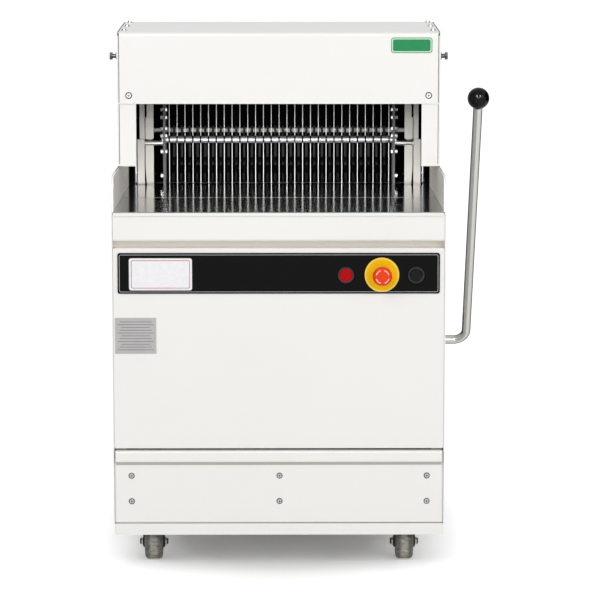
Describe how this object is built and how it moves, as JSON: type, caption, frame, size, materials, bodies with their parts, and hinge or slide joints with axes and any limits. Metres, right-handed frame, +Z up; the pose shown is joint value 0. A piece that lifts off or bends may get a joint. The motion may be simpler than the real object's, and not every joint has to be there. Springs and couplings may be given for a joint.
{
  "type": "bread slicing machine",
  "caption": "Floor-standing cabinet with a table, two reciprocating frames of upright knives, and a side lever that draws a loaf pusher through them",
  "frame": {"origin": "middle of the footprint's bounding box, on the floor", "axes": "+X to the machine's right as the user at the front table sees it, +Y from the front table to the back, +Z up"},
  "size_m": [0.689, 0.8255, 0.942],
  "materials": {
    "white_powder_coat": "satin",
    "stainless_sheet": "brushed",
    "zinc_plated_steel": "satin",
    "blade_steel": "ground",
    "bright_steel": "polished",
    "black_gloss_panel": "gloss",
    "black_plastic": "matte",
    "black_knob": "gloss",
    "red_plastic": "gloss",
    "orange_red_plastic": "gloss",
    "yellow_plastic": "satin",
    "motor_grey": "satin",
    "cast_bearing": "machined",
    "belt_rubber": "matte",
    "grey_tread": "matte",
    "white_plastic": "matte"
  },
  "bodies": {
    "cabinet": {"base_frame": "white_powder_coat", "side_panel_left": "white_powder_coat", "side_panel_right": "white_powder_coat", "table_guards": "stainless_sheet", "front_apron": "white_powder_coat", "cross_members": "white_powder_coat", "front_panel": "white_powder_coat", "control_strip": "black_gloss_panel", "plinth_panel": "white_powder_coat", "outfeed_table": "stainless_sheet", "knife_table": "stainless_sheet", "infeed_table": "stainless_sheet", "hood_cover": "white_powder_coat", "rear_roof": "white_powder_coat", "rear_panel": "white_powder_coat", "cable_gland": "black_plastic", "chassis_plates": "zinc_plated_steel", "knife_guides": "zinc_plated_steel", "guide_bar": "stainless_sheet", "shaft_bearings": "cast_bearing", "drive_belt": "belt_rubber", "motor": "motor_grey", "electrical_box": "white_plastic", "guide_rods": "bright_steel", "tray_runners": "zinc_plated_steel", "estop_legend": "yellow_plastic", "control_bodies": "black_plastic", "side_bolts": "zinc_plated_steel", "caster_plates": "zinc_plated_steel"},
    "lever": {"lever_rod": "bright_steel", "ball_knob": "black_knob", "cross_shaft": "bright_steel", "rocker_arms": "zinc_plated_steel"},
    "pusher": {"pusher_carriage": "zinc_plated_steel", "pusher_fingers": "black_plastic"},
    "front_frame": {"front_knife_frame": "zinc_plated_steel", "front_knives": "blade_steel", "front_knife_clamps": "zinc_plated_steel"},
    "rear_frame": {"rear_knife_frame": "zinc_plated_steel", "rear_knives": "blade_steel", "rear_knife_clamps": "zinc_plated_steel"},
    "crank": {"crank_shaft": "bright_steel", "crank_pulley": "cast_bearing"},
    "front_rods": {"front_connecting_rods": "cast_bearing"},
    "rear_rods": {"rear_connecting_rods": "cast_bearing"},
    "motor_rotor": {"motor_pulley": "cast_bearing"},
    "tray": {"crumb_tray": "stainless_sheet"},
    "lid": {"infeed_lid": "white_powder_coat", "lid_handle": "bright_steel"},
    "estop": {"estop_head": "orange_red_plastic"},
    "stop": {"stop_button": "red_plastic"},
    "start": {"start_button": "black_knob"},
    "swivel_front_left": {"caster_fork_front_left": "zinc_plated_steel"},
    "wheel_front_left": {"caster_wheel_front_left": "grey_tread"},
    "swivel_front_right": {"caster_fork_front_right": "zinc_plated_steel"},
    "wheel_front_right": {"caster_wheel_front_right": "grey_tread"},
    "swivel_rear_left": {"caster_fork_rear_left": "zinc_plated_steel"},
    "wheel_rear_left": {"caster_wheel_rear_left": "grey_tread"},
    "swivel_rear_right": {"caster_fork_rear_right": "zinc_plated_steel"},
    "wheel_rear_right": {"caster_wheel_rear_right": "grey_tread"}
  },
  "joints": [
    {"name": "lever_swing", "type": "hinge", "parent": "cabinet", "child": "lever", "pos_m": [-0.0405, 0.21425, 0.316], "axis": [-1, 0, 0], "range_deg": [0, 54.74]},
    {"name": "pusher_slide", "type": "slide", "parent": "cabinet", "child": "pusher", "axis": [0, 1, 0], "range_m": [0, 0.1606]},
    {"name": "crank_turn", "type": "hinge", "parent": "cabinet", "child": "crank", "pos_m": [-0.0405, 0.15025, 0.35], "axis": [1, 0, 0], "continuous": true},
    {"name": "motor_turn", "type": "hinge", "parent": "cabinet", "child": "motor_rotor", "pos_m": [-0.0405, -0.07975, 0.17], "axis": [1, 0, 0], "continuous": true},
    {"name": "front_rod_turn", "type": "hinge", "parent": "crank", "child": "front_rods", "pos_m": [-0.0405, 0.13025, 0.35], "axis": [1, 0, 0], "continuous": true},
    {"name": "rear_rod_turn", "type": "hinge", "parent": "crank", "child": "rear_rods", "pos_m": [-0.0405, 0.17025, 0.35], "axis": [1, 0, 0], "continuous": true},
    {"name": "front_frame_slide", "type": "slide", "parent": "cabinet", "child": "front_frame", "axis": [0, 0, 1], "range_m": [-0.02, 0.02]},
    {"name": "rear_frame_slide", "type": "slide", "parent": "cabinet", "child": "rear_frame", "axis": [0, 0, 1], "range_m": [-0.02, 0.02]},
    {"name": "tray_slide", "type": "slide", "parent": "cabinet", "child": "tray", "axis": [0, 1, 0], "range_m": [0, 0.25]},
    {"name": "lid_swing", "type": "hinge", "parent": "cabinet", "child": "lid", "pos_m": [-0.0405, 0.22075, 0.8955], "axis": [1, 0, 0], "range_deg": [0, 80]},
    {"name": "estop_push", "type": "slide", "parent": "cabinet", "child": "estop", "axis": [0, 1, 0], "range_m": [0, 0.004], "stiffness_N_per_m": 2500, "springref_m": -0.003},
    {"name": "stop_push", "type": "slide", "parent": "cabinet", "child": "stop", "axis": [0, 1, 0], "range_m": [0, 0.004], "stiffness_N_per_m": 1200, "springref_m": -0.002},
    {"name": "start_push", "type": "slide", "parent": "cabinet", "child": "start", "axis": [0, 1, 0], "range_m": [0, 0.004], "stiffness_N_per_m": 1200, "springref_m": -0.002},
    {"name": "swivel_front_left", "type": "hinge", "parent": "cabinet", "child": "swivel_front_left", "pos_m": [-0.2635, -0.31975, 0.06], "axis": [0, 0, 1], "continuous": true},
    {"name": "wheel_front_left", "type": "hinge", "parent": "swivel_front_left", "child": "wheel_front_left", "pos_m": [-0.2635, -0.30175, 0.031], "axis": [1, 0, 0], "continuous": true},
    {"name": "swivel_front_right", "type": "hinge", "parent": "cabinet", "child": "swivel_front_right", "pos_m": [0.1825, -0.31975, 0.06], "axis": [0, 0, 1], "continuous": true},
    {"name": "wheel_front_right", "type": "hinge", "parent": "swivel_front_right", "child": "wheel_front_right", "pos_m": [0.1825, -0.30175, 0.031], "axis": [1, 0, 0], "continuous": true},
    {"name": "swivel_rear_left", "type": "hinge", "parent": "cabinet", "child": "swivel_rear_left", "pos_m": [-0.2635, 0.31025, 0.06], "axis": [0, 0, 1], "continuous": true},
    {"name": "wheel_rear_left", "type": "hinge", "parent": "swivel_rear_left", "child": "wheel_rear_left", "pos_m": [-0.2635, 0.32825, 0.031], "axis": [1, 0, 0], "continuous": true},
    {"name": "swivel_rear_right", "type": "hinge", "parent": "cabinet", "child": "swivel_rear_right", "pos_m": [0.1825, 0.31025, 0.06], "axis": [0, 0, 1], "continuous": true},
    {"name": "wheel_rear_right", "type": "hinge", "parent": "swivel_rear_right", "child": "wheel_rear_right", "pos_m": [0.1825, 0.32825, 0.031], "axis": [1, 0, 0], "continuous": true}
  ],
  "couplings": [
    {"joint": "pusher_slide", "follows": "lever_swing", "m_per_rad": 0.1675},
    {"joint": "motor_turn", "follows": "crank_turn", "ratio": 2.6364},
    {"joint": "front_rod_turn", "follows": "crank_turn", "ratio": -1},
    {"joint": "rear_rod_turn", "follows": "crank_turn", "ratio": -1},
    {"joint": "rear_frame_slide", "follows": "front_frame_slide", "ratio": -1}
  ]
}
